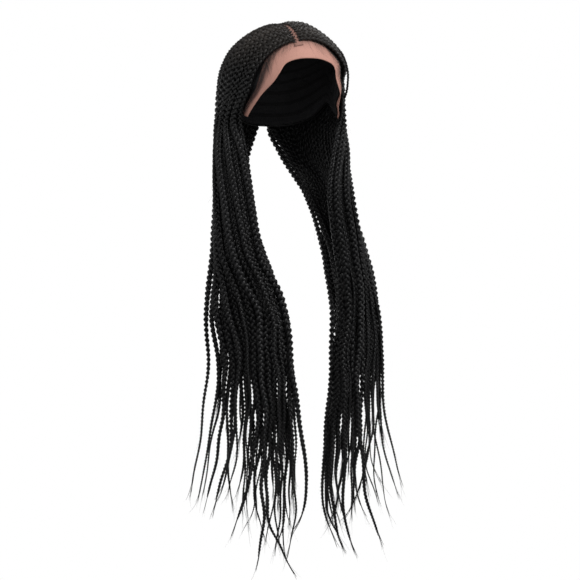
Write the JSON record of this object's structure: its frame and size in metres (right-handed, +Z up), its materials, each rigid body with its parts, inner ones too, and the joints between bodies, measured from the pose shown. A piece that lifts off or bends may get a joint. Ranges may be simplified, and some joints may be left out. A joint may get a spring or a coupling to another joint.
{
  "type": "long braided lace front wig",
  "caption": "Long wig of slim black braids on a net cap with a lace front, parted off centre and brought forward over both shoulders.",
  "frame": {"origin": "inside of the cap's crown, where the top of the head bears", "axes": "+Z up, -Y the way the wearer faces, +X the wearer's left"},
  "size_m": [0.2696, 0.2177, 0.7642],
  "materials": {
    "braid_hair": "soft satin synthetic hair",
    "cap_net": "matte stretch net",
    "lace": "matte fine lace"
  },
  "bodies": {
    "root": {"net_cap": "cap_net", "lace_front": "lace", "under_braids_right": "braid_hair", "under_braids_left": "braid_hair", "braid_right_01": "braid_hair", "braid_right_02": "braid_hair", "braid_right_03": "braid_hair", "braid_right_04": "braid_hair", "braid_right_05": "braid_hair", "braid_right_06": "braid_hair", "braid_right_07": "braid_hair", "braid_right_08": "braid_hair", "braid_right_09": "braid_hair", "braid_right_10": "braid_hair", "braid_right_11": "braid_hair", "braid_right_12": "braid_hair", "braid_right_13": "braid_hair", "braid_right_14": "braid_hair", "braid_right_15": "braid_hair", "braid_right_16": "braid_hair", "braid_right_17": "braid_hair", "braid_right_18": "braid_hair", "braid_right_19": "braid_hair", "braid_right_20": "braid_hair", "braid_right_21": "braid_hair", "braid_right_22": "braid_hair", "braid_right_23": "braid_hair", "braid_right_24": "braid_hair", "braid_left_01": "braid_hair", "braid_left_02": "braid_hair", "braid_left_03": "braid_hair", "braid_left_04": "braid_hair", "braid_left_05": "braid_hair", "braid_left_06": "braid_hair", "braid_left_07": "braid_hair", "braid_left_08": "braid_hair", "braid_left_09": "braid_hair", "braid_left_10": "braid_hair", "braid_left_11": "braid_hair", "braid_left_12": "braid_hair", "braid_left_13": "braid_hair", "braid_left_14": "braid_hair", "braid_left_15": "braid_hair", "braid_left_16": "braid_hair", "braid_left_17": "braid_hair", "braid_left_18": "braid_hair", "braid_left_19": "braid_hair", "braid_left_20": "braid_hair", "braid_left_21": "braid_hair", "braid_left_22": "braid_hair", "braid_left_23": "braid_hair", "braid_left_24": "braid_hair"}
  },
  "joints": []
}
